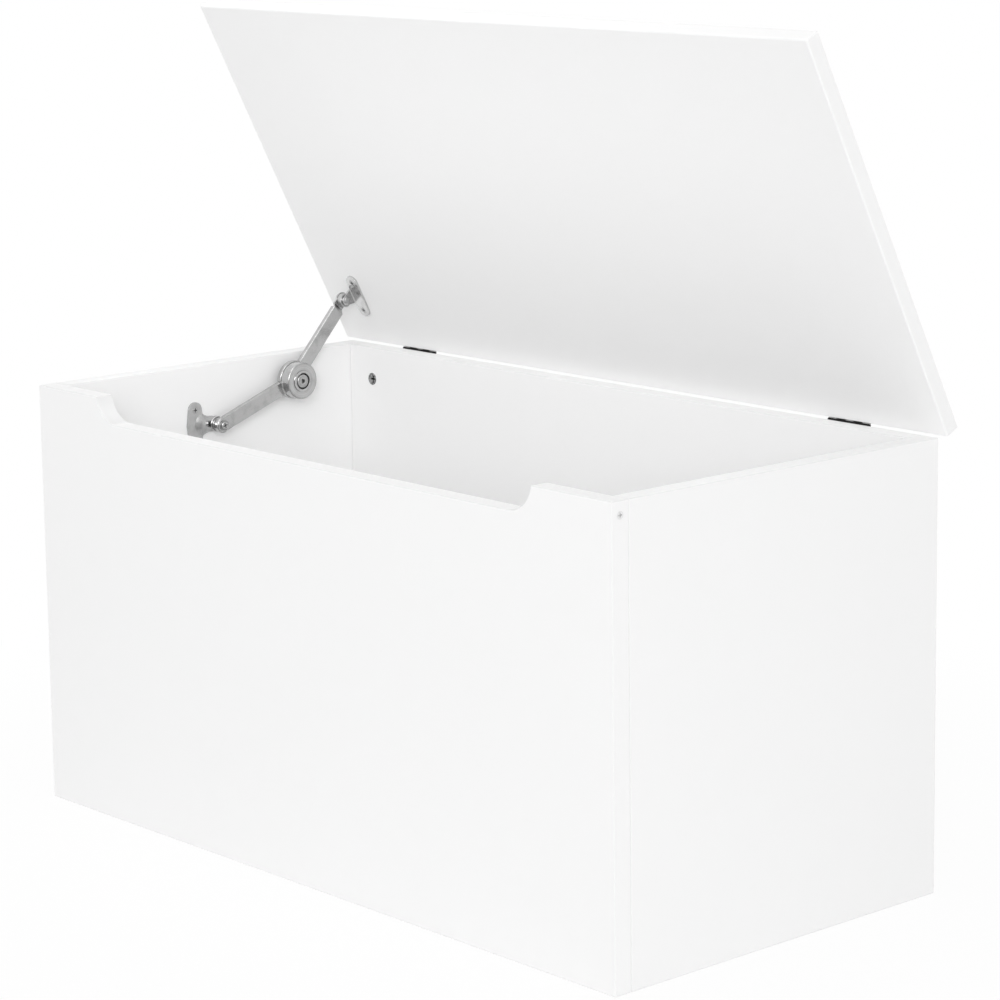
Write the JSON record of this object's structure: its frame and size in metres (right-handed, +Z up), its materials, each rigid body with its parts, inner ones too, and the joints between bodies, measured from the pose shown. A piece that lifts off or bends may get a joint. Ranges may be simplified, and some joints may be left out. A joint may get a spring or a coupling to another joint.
{
  "type": "storage chest",
  "caption": "White board storage chest with a finger cut-out in its front and a hinged lid, which a folding friction stay on the left wall holds open.",
  "frame": {"origin": "on the floor, at the middle of the space that the chest takes up with its lid open", "axes": "+X to the right of someone who faces the front, +Y to the rear, +Z up"},
  "size_m": [0.799, 0.3939, 0.7501],
  "materials": {
    "white_board": "smooth white lacquer on board",
    "beech_dowel": "raw beech",
    "zinc_fitting": "bright zinc",
    "pale_screw": "pale coated steel",
    "black_hinge": "black coated steel",
    "satin_nickel": "satin nickel plated pressed steel",
    "stay_steel": "nickel plated steel",
    "friction_lining": "dark friction lining"
  },
  "bodies": {
    "box": {"front_panel": "white_board", "back_panel": "white_board", "left_side_panel": "white_board", "right_side_panel": "white_board", "bottom_panel": "white_board", "back_dowels": "beech_dowel", "front_dowels": "beech_dowel", "back_cam_locks": "zinc_fitting", "front_cam_locks": "zinc_fitting", "back_cam_bolts": "zinc_fitting", "front_cam_bolts": "zinc_fitting", "front_panel_end_screws": "pale_screw", "left_hinge_back_leaf": "black_hinge", "right_hinge_back_leaf": "black_hinge", "left_hinge_pin": "black_hinge", "right_hinge_pin": "black_hinge", "hinge_back_screws": "black_hinge", "stay_side_bracket": "satin_nickel", "stay_side_bracket_screws": "stay_steel"},
    "lid": {"lid_panel": "white_board", "left_hinge_lid_leaf": "black_hinge", "right_hinge_lid_leaf": "black_hinge", "hinge_lid_screws": "black_hinge", "stay_lid_bracket": "satin_nickel", "stay_lid_bracket_screws": "stay_steel", "stay_upper_pivot_ring": "satin_nickel", "stay_upper_pivot_rivet": "satin_nickel"},
    "upper_stay_arm": {"stay_upper_arm": "satin_nickel", "stay_friction_disc": "friction_lining", "stay_pressure_plate": "stay_steel", "stay_disc_spring": "stay_steel", "stay_centre_bolt": "stay_steel"},
    "lower_stay_arm": {"stay_lower_arm": "satin_nickel", "stay_lower_pivot_bush": "satin_nickel", "stay_lower_pivot_washer": "satin_nickel", "stay_lower_pivot_screw": "stay_steel"}
  },
  "joints": [
    {"name": "lid_hinge", "type": "hinge", "parent": "box", "child": "lid", "pos_m": [0, 0.18432, 0.4002], "axis": [1, 0, 0], "range_deg": [0, 63]},
    {"name": "lid_bracket_pivot", "type": "hinge", "parent": "lid", "child": "upper_stay_arm", "pos_m": [-0.3585, 0.14883, 0.44693], "axis": [1, 0, 0], "range_deg": [-48.25, 0]},
    {"name": "stay_elbow", "type": "hinge", "parent": "upper_stay_arm", "child": "lower_stay_arm", "pos_m": [-0.3585, 0.08401, 0.37451], "axis": [1, 0, 0], "range_deg": [-57.8, 0]}
  ],
  "couplings": [
    {"joint": "lid_bracket_pivot", "follows": "lid_hinge", "ratio": -0.76567},
    {"joint": "stay_elbow", "follows": "lid_hinge", "ratio": -0.91722}
  ]
}
